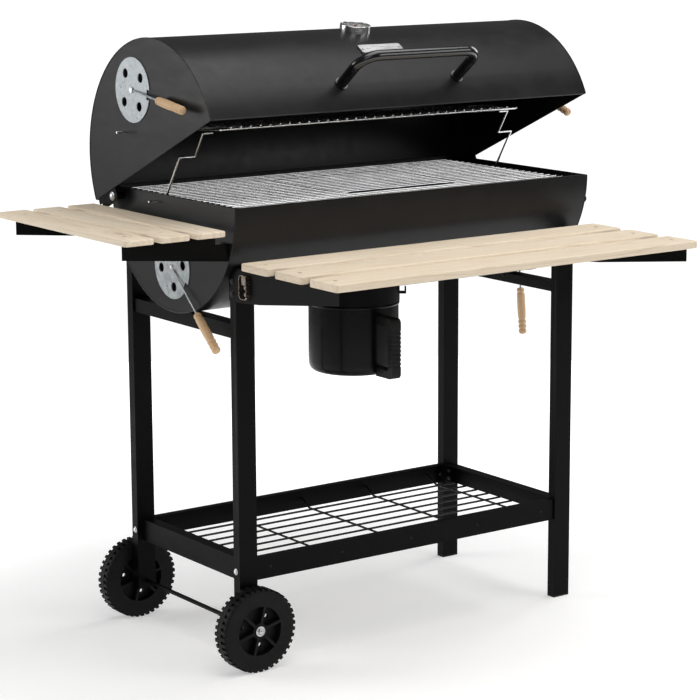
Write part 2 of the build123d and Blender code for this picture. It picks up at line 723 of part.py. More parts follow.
def warming_rack():
    """Warming rack: rear rod through the lid's ends, front rod, cross wires."""
    y0, z0 = RACK_PIN
    tip = 2.6
    ym, zm = polar(y0, z0, RACK_LEN * 0.42, RACK_ANGLE)
    yf, zf = polar(y0, z0, RACK_LEN, RACK_ANGLE)
    ya, za = polar(y0, z0, -tip, RACK_ANGLE)
    yb, zb = polar(y0, z0, RACK_LEN + tip, RACK_ANGLE)
    rack = rod((-438, y0, z0), (438, y0, z0), 2.0)
    for y, z in ((yf, zf), (ym, zm)):
        rack += rod((-RACK_HALF, y, z), (RACK_HALF, y, z), 2.0)
    for sx in (-1, 1):
        rack += rod((sx * 331, ya, za), (sx * 331, yb, zb), 1.8)
    off = math.radians(RACK_ANGLE - 90.0)
    oy = 3.0 * math.cos(off)
    oz = 3.0 * math.sin(off)
    for i in range(31):
        x = -309.0 + 20.6 * i
        rack += rod((x, ya + oy, za + oz), (x, yb + oy, zb + oz), 1.4)
    return rack


def rack_struts():
    """Two cranked wire struts from the barrel's ends to the rack."""
    out = []
    by, bz = STRUT_PIN
    cy, cz = STRUT_TOP
    jy = by + 0.65 * (cy - by)
    jz = bz + 0.65 * (cz - bz)
    for sx in (-1, 1):
        pts = [(sx * 408, by, bz), (sx * 374, by, bz), (sx * 374, jy, jz)]
        pts += [(sx * 342, jy, jz), (sx * 342, cy, cz), (sx * 322, cy, cz)]
        out.append(wire(pts, 2.0))
    return group(out)


def build_frame():
    save("leg_front_left", leg(-1, -1, 62.0))
    save("leg_back_left", leg(-1, 1, 62.0))
    save("leg_front_right", leg(1, -1, 4.0))
    save("leg_back_right", leg(1, 1, 4.0))
    save("foot_caps", foot_caps())
    save("cross_rail_left", cross_rail(-1))
    save("cross_rail_right", cross_rail(1))
    save("shelf_rail_front", shelf_rail_long(-1))
    save("shelf_rail_back", shelf_rail_long(1))
    save("shelf_rail_left", shelf_rail_short(-1))
    save("shelf_rail_right", shelf_rail_short(1))
    save("shelf_grid", shelf_grid())
    save("frame_bolts", frame_bolts())
    save("axle", axle())
    save("wheel_near", wheel(-1))
    save("wheel_far", wheel(1))


def build_tables():
    for i, row in enumerate(FRONT_ROWS):
        board = plank(FRONT_X[0], FRONT_X[1], row[0], row[1], FRONT_TOP, FRONT_T, front_screws(row))
        save("front_plank_%d" % (i + 1), board)
    for i, row in enumerate(SIDE_ROWS):
        board = plank(row[0], row[1], -SIDE_Y, SIDE_Y, SIDE_TOP, SIDE_T, side_screws(row))
        save("side_plank_%d" % (i + 1), board)
    save("bracket_front_left", bracket_front(-1))
    save("bracket_front_right", bracket_front(1))
    save("bracket_side_near", bracket_side(-1))
    save("bracket_side_far", bracket_side(1))
    save("table_screws", table_screws())
    save("bottle_opener", bottle_opener())


def build_barrel():
    save("firebox_shell", firebox_shell())
    save("firebox_end_left", firebox_end(-1))
    save("firebox_end_right", firebox_end(1))
    save("grate_ledges", grate_ledges())
    save("charcoal_grate", charcoal_grate())
    save("cooking_grate", cooking_grate())
    save("grate_insert", grate_insert())
    save("ash_collar", ash_collar())
    save("ash_pot", ash_pot())
    save("ash_pot_handle", ash_pot_handle())
    save("hinge_bolts", hinge_bolts())


def build_lid():
    save("lid_shell", lid_shell())
    save("lid_end_left", lid_end(-1))
    save("lid_end_right", lid_end(1))
    save("hinge_plates", hinge_plates())
    save("lid_handle", lid_handle())
    save("badge", badge())
    save("thermo_bezel", thermo_bezel())
    save("thermo_dial", thermo_dial())
    save("thermo_glass", thermo_glass())
    save("lid_fasteners", lid_fasteners())
    save("warming_rack", warming_rack())
    save("rack_struts", rack_struts())


def build_dampers():
    low = [("low_left", -1, LOW_LEFT_DIR), ("low_right", 1, LOW_RIGHT_DIR)]
    for name, sx, handle in low:
        save("damper_" + name, damper(sx, FB_HALF, 0, LOW_VENT_Z, handle, 120))
        save("grip_" + name, grip(sx, FB_HALF, 0, LOW_VENT_Z, handle, 120, 92))
    high = [("lid_left", -1, LID_LEFT_DIR), ("lid_right", 1, LID_RIGHT_DIR)]
    for name, sx, handle in high:
        disc = damper(sx, LID_HALF, LID_VENT_Y, LID_VENT_Z, handle, 104)
        wood = grip(sx, LID_HALF, LID_VENT_Y, LID_VENT_Z, handle, 104, 96)
        save("damper_" + name, opened(disc))
        save("grip_" + name, opened(wood))


os.makedirs("parts", exist_ok=True)
build_frame()
build_tables()
build_barrel()
build_lid()
build_dampers()
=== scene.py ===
import json
import math

import bmesh
import bpy
from mathutils import Matrix, Vector

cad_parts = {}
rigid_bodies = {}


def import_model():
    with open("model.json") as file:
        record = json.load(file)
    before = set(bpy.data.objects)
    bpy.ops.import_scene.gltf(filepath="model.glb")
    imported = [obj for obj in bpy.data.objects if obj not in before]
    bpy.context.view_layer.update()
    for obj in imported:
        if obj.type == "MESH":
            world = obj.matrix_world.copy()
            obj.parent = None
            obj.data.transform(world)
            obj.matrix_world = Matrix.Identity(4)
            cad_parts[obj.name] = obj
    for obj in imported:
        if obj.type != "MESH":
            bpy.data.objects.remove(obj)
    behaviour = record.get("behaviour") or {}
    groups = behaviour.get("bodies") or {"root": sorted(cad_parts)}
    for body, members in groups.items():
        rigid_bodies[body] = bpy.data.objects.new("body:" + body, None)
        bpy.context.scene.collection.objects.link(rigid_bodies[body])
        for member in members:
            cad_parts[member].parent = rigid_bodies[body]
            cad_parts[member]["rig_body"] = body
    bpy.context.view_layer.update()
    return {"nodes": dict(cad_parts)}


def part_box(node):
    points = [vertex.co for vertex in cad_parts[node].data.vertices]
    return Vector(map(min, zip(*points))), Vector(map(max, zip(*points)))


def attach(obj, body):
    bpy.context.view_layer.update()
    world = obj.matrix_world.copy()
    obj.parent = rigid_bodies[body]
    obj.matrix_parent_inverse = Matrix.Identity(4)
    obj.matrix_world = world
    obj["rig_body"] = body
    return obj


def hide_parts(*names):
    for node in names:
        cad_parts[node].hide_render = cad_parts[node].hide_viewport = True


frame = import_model()
NODES = frame["nodes"]
BODY = {n: o["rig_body"] for n, o in NODES.items()}
MM = 0.001
rad = math.radians


# ------------------------------------------------------------------ shader helpers
class Shader:
    """A Principled material with short names for the nodes used here."""

    def __init__(self, name, **sockets):
        self.mat = bpy.data.materials.new(name)
        self.mat.use_nodes = True
        self.tree = self.mat.node_tree
        self.bsdf = self.tree.nodes["Principled BSDF"]
        for key, value in sockets.items():
            self.bsdf.inputs[key.replace("_", " ")].default_value = value
        self.space = self.add("TexCoord").outputs["Object"]

    def add(self, kind, props=None, **sockets):
        n = self.tree.nodes.new("ShaderNode" + kind)
        for key, value in (props or {}).items():
            setattr(n, key, value)
        for key, value in sockets.items():
            s = n.inputs[int(key[1:])] if key[1:].isdigit() else n.inputs[key.replace("_", " ")]
            self.put(value, s)
        return n

    def put(self, value, socket):
        if isinstance(value, bpy.types.NodeSocket):
            self.tree.links.new(value, socket)
        else:
            socket.default_value = value

    def set(self, **sockets):
        for key, value in sockets.items():
            self.put(value, self.bsdf.inputs[key.replace("_", " ")])
        return self

    def mapped(self, scale=(1, 1, 1), turn=(0, 0, 0), shift=(0, 0, 0), vector=None):
        n = self.add("Mapping", Vector=vector or self.space, Scale=scale, Rotation=turn, Location=shift)
        return n.outputs[0]

    def noise(self, scale, detail=2.0, rough=0.5, vector=None, warp=0.0):
        n = self.add("TexNoise", Vector=vector or self.space, Scale=scale, Detail=detail, Roughness=rough)
        n.inputs["Distortion"].default_value = warp
        return n.outputs[0]

    def cells(self, scale, vector=None):
        return self.add("TexVoronoi", Vector=vector or self.space, Scale=scale)

    def span(self, value, a, b, c, d):
        n = self.add("MapRange", Value=value)
        for i, v in enumerate((a, b, c, d)):
            n.inputs[i + 1].default_value = v
        return n.outputs[0]

    def math(self, op, a, b=0.0, c=0.0):
        return self.add("Math", {"operation": op}, i0=a, i1=b, i2=c).outputs[0]

    def mix(self, fac, a, b, kind="MIX"):
        n = self.add("Mix", {"data_type": "RGBA", "blend_type": kind})
        self.put(fac, n.inputs[0])
        self.put(a, n.inputs[6])
        self.put(b, n.inputs[7])
        return n.outputs[2]

    def ramp(self, fac, *stops):
        n = self.add("ValToRGB", Fac=fac)
        els = n.color_ramp.elements
        while len(els) < len(stops):
            els.new(0.5)
        for e, (at, colour) in zip(els, stops):
            e.position = at
            e.color = rgb(colour)
        return n.outputs[0]

    def bump(self, height, strength, distance, normal=None):
        n = self.add("Bump", Height=height)
        n.inputs["Strength"].default_value = strength
        n.inputs["Distance"].default_value = distance
        if normal is not None:
            self.tree.links.new(normal, n.inputs["Normal"])
        return n.outputs[0]


def rgb(c):
    c = (c, c, c) if isinstance(c, (int, float)) else c
    return (*c, 1.0) if len(c) == 3 else tuple(c)


def coated(name, tone, rough, peel=1100.0, depth=0.00012, tint=(1.0, 1.0, 1.03), coat=0.0, spec=0.3):
    """Powder coat or paint: orange peel, soft patches of sheen, a little dust and a few rubs."""
    s = Shader(name, Coat_Weight=coat, Coat_Roughness=0.12, Specular_IOR_Level=spec)
    dark = rgb([tone * 0.78 * t for t in tint])
    pale = rgb([tone * 1.28 * t for t in tint])
    patch = s.noise(11.0, 5.0, 0.6)
    base = s.mix(s.span(patch, 0.3, 0.7, 0.0, 1.0), dark, pale)
    dust = s.span(s.noise(420.0, 3.0, 0.7), 0.66, 0.80, 0.0, 0.16)
    s.set(Base_Color=s.mix(dust, base, rgb([tone * 2.6 + 0.012] * 3)))
    rub = s.span(s.noise(60.0, 6.0, 0.7, s.mapped((1.0, 0.25, 1.0))), 0.35, 0.75, -0.05, 0.07)
    s.set(Roughness=s.math("ADD", rub, s.span(patch, 0.3, 0.7, rough - 0.03, rough + 0.03)))
    fine = s.bump(s.noise(peel, 2.0, 0.5), 0.35, depth)
    s.set(Normal=s.bump(s.noise(38.0, 2.0, 0.4), 0.12, 0.0008, fine))
    return s.mat


def bare_metal(name, tone, lo, hi, stretch=(1, 1, 1), scale=300.0):
    """Plated or bare metal with fine drawing marks and a little tarnish."""
    s = Shader(name, Metallic=1.0)
    marks = s.noise(scale, 4.0, 0.6, s.mapped(stretch))
    stain = s.noise(24.0, 5.0, 0.65)
    s.set(Roughness=s.span(marks, 0.3, 0.7, lo, hi))
    dark = rgb([c * 0.72 for c in tone])
    s.set(Base_Color=s.mix(s.span(stain, 0.35, 0.75, 0.0, 0.65), rgb(tone), dark))
    s.set(Normal=s.bump(marks, 0.18, 0.0002))
    return s.mat


def galvanised(name):
    """Zinc spangle in flat crystals, with light handling marks."""
    s = Shader(name, Metallic=0.55)
    warped = s.mix(0.006, s.space, s.add("TexNoise", Vector=s.space, Scale=160.0).outputs[1])
    big = s.cells(150.0, warped)
    small = s.cells(420.0, warped)
    tone = s.math("ADD", s.math("MULTIPLY", s.add("SeparateColor", i0=big.outputs["Color"]).outputs[0], 0.65),
                  s.math("MULTIPLY", s.add("SeparateColor", i0=small.outputs["Color"]).outputs[1], 0.35))
    colour = s.ramp(tone, (0.0, (0.30, 0.325, 0.34)), (0.55, (0.37, 0.40, 0.415)), (1.0, (0.46, 0.49, 0.505)))
    stain = s.span(s.noise(38.0, 5.0, 0.7), 0.5, 0.8, 0.0, 0.5)
    s.set(Base_Color=s.mix(stain, colour, rgb((0.28, 0.30, 0.31))))
    s.set(Roughness=s.span(tone, 0.0, 1.0, 0.26, 0.50))
    scratch = s.noise(90.0, 6.0, 0.75, s.mapped((1, 0.18, 1.0), (0.5, 0, 0)))
    s.set(Normal=s.bump(scratch, 0.12, 0.0003, s.bump(tone, 0.10, 0.0003)))
    return s.mat


def wood(name, turn, seed, pale, mid, dark, size=1.0, knots=1.0):
    """Planed softwood; the grain runs along X after the turn. Rings come from one stretched
    noise, knots bend them, and fibres and pores lie along the grain."""
    s = Shader(name, Specular_IOR_Level=0.35, Coat_Weight=0.03, Coat_Roughness=0.4)
    along = s.mapped(turn=turn, shift=(seed * 1.37, seed * 0.61, seed * 0.23))
    # knots: one cell about every 0.20 m of plank, a few of them real knots
    cell = s.cells(1.0, s.mapped((4.4 / size, 12.0 / size, 12.0 / size), vector=along))
    pick = s.math("GREATER_THAN", s.add("SeparateColor", i0=cell.outputs["Color"]).outputs[0], 0.60)
    near = s.math("MULTIPLY", pick, s.span(cell.outputs["Distance"], 0.02, 0.34, 1.0, 0.0))
    core = s.math("MULTIPLY", pick, s.span(cell.outputs["Distance"], 0.045, 0.10, 1.0, 0.0))
    swell = s.math("POWER", near, 2.2)
    # growth rings
    drift = s.noise(1.0, 2.0, 0.45, s.mapped((1.1 / size, 11.0 / size, 15.0 / size), vector=along))
    phase = s.math("ADD", s.math("MULTIPLY", drift, 15.0), s.math("MULTIPLY", swell, 3.2 * knots))
    wobble = s.noise(1.0, 3.0, 0.6, s.mapped((6.0 / size, 60.0 / size, 60.0 / size), vector=along))
    ring = s.math("FRACT", s.math("ADD", phase, s.math("MULTIPLY", wobble, 0.35)))
    late = s.ramp(ring, (0.0, 0.10), (0.55, 0.28), (0.86, 1.0), (1.0, 0.12))
    fibre = s.noise(1.0, 4.0, 0.65, s.mapped((22.0 / size, 900.0 / size, 900.0 / size), vector=along))
    pore = s.span(s.noise(1.0, 2.0, 0.6, s.mapped((60 / size, 1500 / size, 1500 / size), vector=along)),
                  0.62, 0.80, 0.0, 0.5)
    tone = s.noise(1.0, 2.0, 0.5, s.mapped((2.0, 9.0, 9.0), vector=along))
    base = s.mix(s.span(tone, 0.3, 0.7, 0.0, 1.0), rgb(pale), rgb(mid))
    body = s.mix(s.math("MULTIPLY", late, 0.42), base, rgb(dark))
    body = s.mix(s.span(fibre, 0.35, 0.75, 0.0, 0.24), body, rgb([c * 0.72 for c in dark]))
    body = s.mix(pore, body, rgb([c * 0.6 for c in dark]))
    halo = rgb([c * 0.80 for c in dark])
    body = s.mix(s.math("MULTIPLY", swell, 0.75 * knots), body, halo)
    body = s.mix(s.math("MULTIPLY", core, knots), body, rgb((dark[0] * 0.30, dark[1] * 0.20, dark[2] * 0.14)))
    s.set(Base_Color=body, Roughness=s.span(fibre, 0.3, 0.7, 0.44, 0.62))
    grain = s.math("ADD", s.math("MULTIPLY", fibre, 0.6), s.math("MULTIPLY", late, 0.4))
    s.set(Normal=s.bump(grain, 0.22, 0.0006))
    return s.mat


def moulded(name, tone, rough):
    """Moulded plastic: spark-eroded grain, scuffs and a trace of dust."""
    s = Shader(name, Specular_IOR_Level=0.16)
    scuff = s.span(s.noise(70.0, 6.0, 0.75), 0.5, 0.8, 0.0, 0.55)
    s.set(Base_Color=s.mix(scuff, rgb(tone), rgb(tone * 2.3 + 0.003)))
    s.set(Roughness=s.span(s.noise(28.0, 4.0, 0.6), 0.3, 0.7, rough - 0.06, rough + 0.09))
    s.set(Normal=s.bump(s.noise(1500.0, 2.0, 0.6), 0.3, 0.0002))
    return s.mat


def enamel(name):
    """Black vitreous enamel: glassy, slightly wavy, with faint pale flecks."""
    s = Shader(name, Coat_Weight=0.06, Coat_Roughness=0.12, Specular_IOR_Level=0.12)
    fleck = s.span(s.cells(900.0).outputs["Distance"], 0.0, 0.16, 1.0, 0.0)
    few = s.math("MULTIPLY", fleck, s.span(s.noise(130.0, 2.0), 0.52, 0.70, 0.0, 0.5))
    s.set(Base_Color=s.mix(few, rgb((0.0016, 0.0016, 0.0017)), rgb((0.02, 0.02, 0.021))))
    s.set(Roughness=s.span(s.noise(16.0, 4.0), 0.3, 0.7, 0.20, 0.30))
    s.set(Normal=s.bump(s.noise(26.0, 2.0, 0.4), 0.10, 0.0010, s.bump(s.noise(700.0, 2.0), 0.08, 0.0002)))
    return s.mat


def dial_face(name, centre):
    """Cream dial with grey and dark rings, drawn by distance from the stem."""
    s = Shader(name, Coat_Weight=0.2, Coat_Roughness=0.1)
    away = s.add("VectorMath", {"operation": "DISTANCE"}, i0=s.space, i1=tuple(centre)).outputs["Value"]
    band = s.ramp(s.span(away, 0.0, 0.0255, 0.0, 1.0), (0.0, (0.70, 0.69, 0.66)), (0.30, (0.78, 0.77, 0.74)),
                  (0.32, (0.55, 0.56, 0.57)), (0.345, (0.80, 0.79, 0.76)), (0.86, (0.80, 0.79, 0.76)),
                  (0.885, (0.06, 0.06, 0.06)), (0.93, (0.74, 0.73, 0.71)))
    grime = s.span(s.noise(160.0, 5.0, 0.7), 0.45, 0.8, 0.0, 0.25)
    s.set(Base_Color=s.mix(grime, band, rgb((0.50, 0.48, 0.44))))
    s.set(Roughness=s.span(s.noise(300.0, 3.0), 0.3, 0.7, 0.32, 0.5))
    s.set(Normal=s.bump(s.noise(900.0, 2.0), 0.08, 0.0001))
    return s.mat


def clear_glass(name):
    s = Shader(name, Transmission_Weight=1.0, IOR=1.46, Base_Color=(0.96, 0.98, 0.98, 1.0))
    s.set(Roughness=s.span(s.noise(120.0, 4.0, 0.7), 0.4, 0.8, 0.01, 0.09))
    s.set(Normal=s.bump(s.noise(60.0, 2.0), 0.03, 0.0002))
    return s.mat


BLACK = coated("powder_black", 0.0024, 0.42, spec=0.07)
LIDBLACK = coated("lid_black", 0.0075, 0.38, peel=900.0, spec=0.22)
SHELF = coated("shelf_black", 0.006, 0.42, peel=1600.0, depth=0.00008, spec=0.25)
GLOSS = coated("tube_gloss", 0.0035, 0.20, peel=500.0, depth=0.00005, coat=0.5, spec=0.4)
ZINC = bare_metal("zinc", (0.66, 0.67, 0.68), 0.22, 0.42)
CHROME = bare_metal("chrome_wire", (0.84, 0.84, 0.84), 0.16, 0.32, scale=700.0)
BRIGHT = bare_metal("bright_chrome", (0.80, 0.80, 0.80), 0.08, 0.22, scale=400.0)
DARKSTEEL = bare_metal("black_bolt", (0.035, 0.035, 0.037), 0.36, 0.5)
BRONZE = bare_metal("opener_rim", (0.46, 0.38, 0.32), 0.16, 0.32, scale=500.0)
BRUSHED = bare_metal("brushed_plate", (0.62, 0.62, 0.63), 0.22, 0.46, (0.04, 1.0, 1.0), 900.0)
GALV = galvanised("galvanised")
PLASTIC = moulded("moulded_black", 0.0035, 0.52)
CAP = moulded("cap_black", 0.0030, 0.46)
ENAMEL = enamel("pot_enamel")
GLASS = clear_glass("dial_glass")

PINE = ((0.86, 0.75, 0.60), (0.80, 0.68, 0.52), (0.60, 0.45, 0.30))
BEECH = ((0.74, 0.52, 0.32), (0.66, 0.44, 0.25), (0.46, 0.28, 0.14))


# ------------------------------------------------------------------ CAD nodes
def smooth(node, angle=32.0):
    """Shades a CAD node smooth across small angles; only doubled points are welded."""
    o = NODES[node]
    weld = o.modifiers.new("weld", "WELD")
    weld.merge_threshold = 0.00002
    split = o.modifiers.new("split", "EDGE_SPLIT")
    split.split_angle = rad(angle)
    for p in o.data.polygons:
        p.use_smooth = True
    return o


def finish_node(node, mat):
    o = smooth(node)
    o.data.materials.clear()
    o.data.materials.append(mat)
    for p in o.data.polygons:
        p.material_index = 0


KEEP = {
    BLACK: ["leg_front_left", "leg_back_left", "leg_front_right", "leg_back_right",
            "cross_rail_left", "cross_rail_right", "shelf_rail_front", "shelf_rail_back",
            "shelf_rail_left", "shelf_rail_right", "bracket_front_left", "bracket_front_right",
            "bracket_side_near", "bracket_side_far", "ash_collar", "grate_ledges", "hinge_plates"],
    LIDBLACK: ["lid_shell", "lid_end_left", "lid_end_right", "firebox_shell", "firebox_end_left",
               "firebox_end_right"],
    SHELF: ["shelf_grid", "charcoal_grate"],
    GLOSS: ["lid_handle"],
    CHROME: ["cooking_grate", "grate_insert", "warming_rack", "rack_struts"],
    BRIGHT: ["thermo_bezel"],
    GALV: ["damper_low_left", "damper_low_right", "damper_lid_left", "damper_lid_right"],
    ZINC: ["lid_fasteners"],
    BRUSHED: ["badge"],
    PLASTIC: ["wheel_near", "wheel_far"],
    CAP: ["foot_caps", "ash_pot_handle"],
}
for mat, names in KEEP.items():
    for n in names:
        finish_node(n, mat)

for i in (1, 2, 3):
    lengthwise = wood(f"pine_front_{i}", (0, 0, 0), 2.0 + 3.1 * i, *PINE)
    finish_node(f"front_plank_{i}", lengthwise)
    crosswise = wood(f"pine_side_{i}", (0, 0, rad(90)), 11.0 + 2.3 * i, *PINE)
    finish_node(f"side_plank_{i}", crosswise)

finish_node("bottle_opener", BRONZE)
opener = NODES["bottle_opener"].data
opener.materials.append(CAP)
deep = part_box("bottle_opener")[0].x + 0.0062
for p in opener.polygons:
    if p.center.x > deep:
        p.material_index = 1

# the stand's middle, on the floor
pot_lo, pot_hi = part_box("ash_pot")
front_y, back_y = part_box("leg_front_left")[0].y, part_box("leg_back_left")[1].y
MID = Vector(((pot_lo.x + pot_hi.x) / 2, (front_y + back_y) / 2, 0))


def at(x, y, z):
    """Point given in millimetres from the stand's middle."""
    return MID + Vector((x, y, z)) * MM


# ------------------------------------------------------------------ mesh helpers
def publish(name, bm, mat, body, hides=(), matrix=None, angle=35.0):
    """Turns a bmesh into a piece that rides on a body."""
    me = bpy.data.meshes.new(name)
    bmesh.ops.recalc_face_normals(bm, faces=bm.faces)
    bm.to_mesh(me)
    bm.free()
    for p in me.polygons:
        p.use_smooth = True
    me.set_sharp_from_angle(angle=rad(angle))
    for m in mat if isinstance(mat, (list, tuple)) else [mat]:
        me.materials.append(m)
    o = bpy.data.objects.new(name, me)
    bpy.context.scene.collection.objects.link(o)
    if matrix is not None:
        o.matrix_world = matrix
    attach(o, body)
    if hides:
        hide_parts(*hides)
    return o


def aligned(p, direction):
    """Matrix with local Z along a direction, at p."""
    q = Vector(direction).normalized().to_track_quat("Z", "Y")
    return Matrix.Translation(Vector(p)) @ q.to_matrix().to_4x4()


def lathe(bm, profile, matrix=None, steps=40):
    """Adds a solid of revolution: profile is a list of (z, r) in metres along local Z."""
    matrix = matrix or Matrix.Identity(4)
    rings = []
    for z, r in profile:
        if r < 1e-7:
            rings.append([bm.verts.new(matrix @ Vector((0, 0, z)))])
        else:
            turn = [2 * math.pi * i / steps for i in range(steps)]
            rings.append([bm.verts.new(matrix @ Vector((r * math.cos(a), r * math.sin(a), z))) for a in turn])
    for a, b in zip(rings, rings[1:]):
        for i in range(steps):
            j = (i + 1) % steps
            if len(a) == 1 and len(b) == 1:
                continue
            if len(a) == 1:
                bm.faces.new((a[0], b[i], b[j]))
            elif len(b) == 1:
                bm.faces.new((a[i], a[j], b[0]))
            else:
                bm.faces.new((a[i], a[j], b[j], b[i]))


def curve_through(points, steps=5):
    """Catmull-Rom points through a list of number pairs."""
    out = []
    n = len(points)
    for i in range(n - 1):
        p = [points[max(i - 1, 0)], points[i], points[i + 1], points[min(i + 2, n - 1)]]
        for k in range(steps):
            t = k / steps
            out.append(tuple(
                0.5 * (2 * p[1][c] + (p[2][c] - p[0][c]) * t
                       + (2 * p[0][c] - 5 * p[1][c] + 4 * p[2][c] - p[3][c]) * t * t
                       + (3 * p[1][c] - p[0][c] - 3 * p[2][c] + p[3][c]) * t ** 3) for c in (0, 1)))
    out.append(points[-1])
    return out


def tube(bm, points, r, steps=12):
    """Adds a round bar along a list of points, with flat ends."""
    rings = []
    n = len(points)
    side = None
    for i, p in enumerate(points):
        d = (points[min(i + 1, n - 1)] - points[max(i - 1, 0)]).normalized()
        if side is None:
            side = d.orthogonal().normalized()
        side = (side - d * side.dot(d)).normalized()
        up = d.cross(side)
        turn = [2 * math.pi * k / steps for k in range(steps)]
        rings.append([bm.verts.new(p + side * (r * math.cos(a)) + up * (r * math.sin(a))) for a in turn])
    for a, b in zip(rings, rings[1:]):
        for k in range(steps):
            j = (k + 1) % steps
            bm.faces.new((a[k], a[j], b[j], b[k]))
    bm.faces.new(rings[0][::-1])
    bm.faces.new(rings[-1])


def dome(bm, p, d, r, h, washer=1.25):
    """Button head on a washer, standing out from p along d. Millimetres for r and h."""
    m = aligned(p, d)
    rw = r * washer
    lathe(bm, [(0, 0), (0, rw * MM), (0.7 * MM, rw * MM), (0.9 * MM, (rw - 0.3) * MM), (0.9 * MM, 0)], m, 28)
    cap = [(0.9 * MM, 0), (0.9 * MM, r * MM)]
    for k in range(1, 8):
        a = rad(12.5 * k)
        cap.append(((0.9 + 0.5 + (h - 1.4) * math.sin(a)) * MM, r * math.cos(a) * MM))
    cap.append(((h - 0.2) * MM, 0.34 * r * MM))
    cap.append(((h - 1.5) * MM, 0.30 * r * MM))
    cap.append(((h - 1.6) * MM, 0))
    lathe(bm, cap, m, 24)


def hexnut(bm, p, d, r, h, stub=2.0):
    """Chamfered nut with the bolt's end standing out of it."""
    m = aligned(p, d)
    rings = []
    for z, s in ((0, 0.94), (0.08, 1.0), (0.86, 1.0), (1.0, 0.90)):
        ring = [m @ Vector((r * s * math.cos(rad(60 * k)), r * s * math.sin(rad(60 * k)), z * h))
                for k in range(6)]
        rings.append([bm.verts.new(v) for v in ring])
    for a, b in zip(rings, rings[1:]):
        for k in range(6):
            bm.faces.new((a[k], a[(k + 1) % 6], b[(k + 1) % 6], b[k]))
    bm.faces.new(rings[0][::-1])
    bm.faces.new(rings[-1])
    bolt = r * 0.52
    thread = [(h, bolt)]
    for k in range(int(stub)):
        z = h + k * MM
        thread += [(z + 0.25 * MM, bolt), (z + 0.5 * MM, bolt * 0.90), (z + 0.75 * MM, bolt)]
    thread += [(h + stub * MM, bolt * 0.85), (h + stub * MM, 0)]
    lathe(bm, thread, m, 16)


# ------------------------------------------------------------------ turned grips
def grips():
    for n in ("low_left", "low_right", "lid_left", "lid_right"):
        node = NODES["grip_" + n]
        pts = [v.co.copy() for v in node.data.vertices]
        centre = sum(pts, Vector()) / len(pts)
        far = max(pts, key=lambda p: (p - centre).length)
        d = (far - centre).normalized()
        for _ in range(12):
            new = Vector()
            for p in pts:
                new += (p - centre) * (p - centre).dot(d)
            d = new.normalized()
        disc_lo, disc_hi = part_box("damper_" + n)
        if (centre - (disc_lo + disc_hi) / 2).dot(d) < 0:
            d = -d
        span = [(p - centre).dot(d) for p in pts]
        start = centre + d * min(span)
        e = (max(span) - min(span)) / MM
        prof = [(0, 0), (0, 4.8), (0.5, 6.0), (2.5, 7.1), (5.5, 7.3), (7.4, 6.2), (8.8, 6.1), (10.5, 7.2),
                (15, 7.6), (e * 0.45, 7.9), (e - 36, 7.5), (e - 31.5, 7.0), (e - 29.5, 6.0), (e - 27.5, 7.0),
                (e - 24.5, 7.8), (e - 21.5, 7.0), (e - 19.8, 5.9), (e - 18, 7.0), (e - 15, 7.8),
                (e - 12, 6.9), (e - 10.4, 5.8), (e - 8.8, 6.9), (e - 5.5, 7.6), (e - 2.0, 6.6),
                (e, 3.4), (e, 0)]
        body = [prof[0], prof[1]] + curve_through(prof[2:-1], 5) + [prof[-1]]
        bm = bmesh.new()
        lathe(bm, [(z * MM, max(r, 0) * MM) for z, r in body], steps=44)
        mat = wood("beech_" + n, (0, rad(90), 0), 5.0 + len(n), *BEECH, size=0.34, knots=0.0)
        publish("turned_grip_" + n, bm, mat, BODY["grip_" + n], ["grip_" + n],
                aligned(start, d), angle=60.0)


# ------------------------------------------------------------------ bolts and screws
def stand_bolts():
    bright, dark = bmesh.new(), bmesh.new()
    for sx in (-1, 1):
        for sy in (-1, 1):
            dome(bright, at(sx * 378, sy * 171.5, 175), (sx, 0, 0), 4.6, 3.4)
            hexnut(dark, at(sx * 339.5, sy * 171.5, 175), (-sx, 0, 0), 5.2 * MM, 4 * MM)
            for z in (167, 183):
                dome(dark, at(sx * 355, sy * 162.5, z), (0, -sy, 0), 4.4, 3.0)
        for z in (668, 690):
            dome(dark, at(sx * 379.5, -174, z), (sx, 0, 0), 4.4, 3.2)
            hexnut(dark, at(sx * 341, -174, z), (-sx, 0, 0), 5.2 * MM, 4 * MM)
        dome(dark, at(sx * 359.5, 0, 614.5), (0, 0, 1), 5.2, 3.4)
        hexnut(dark, at(sx * 359.5, 0, 611.5), (0, 0, -1), 5.6 * MM, 4 * MM, 5.0)
        dome(bright, at(sx * 393.1, 0, 694), (sx, 0, 0), 3.9, 3.6, 1.1)
        hexnut(dark, at(sx * 389.8, 0, 694), (-sx, 0, 0), 5.0 * MM, 4 * MM)
    for sy in (-1, 1):
        for z in (736, 752):
            dome(dark, at(-392.5, sy * 171, z), (-1, 0, 0), 4.0, 3.0)
            hexnut(dark, at(-389.8, sy * 171, z), (1, 0, 0), 4.6 * MM, 3.6 * MM)
    knob = [(0, 0), (0, 8.6), (3.6, 8.6), (4.6, 8.3)]
    knob += [(4.6 + 6.6 * math.sin(rad(a)), 8.3 * math.cos(rad(a))) for a in (15, 30, 45, 60, 75)]
    knob.append((11.2, 0))
    lathe(dark, [(z * MM, r * MM) for z, r in knob], aligned(at(391, -188, 771), (1, 0, 0)), 32)
    publish("stand_bolts_dark", dark, DARKSTEEL, "frame", ["frame_bolts"])
    publish("stand_bolts_bright", bright, ZINC, "frame")


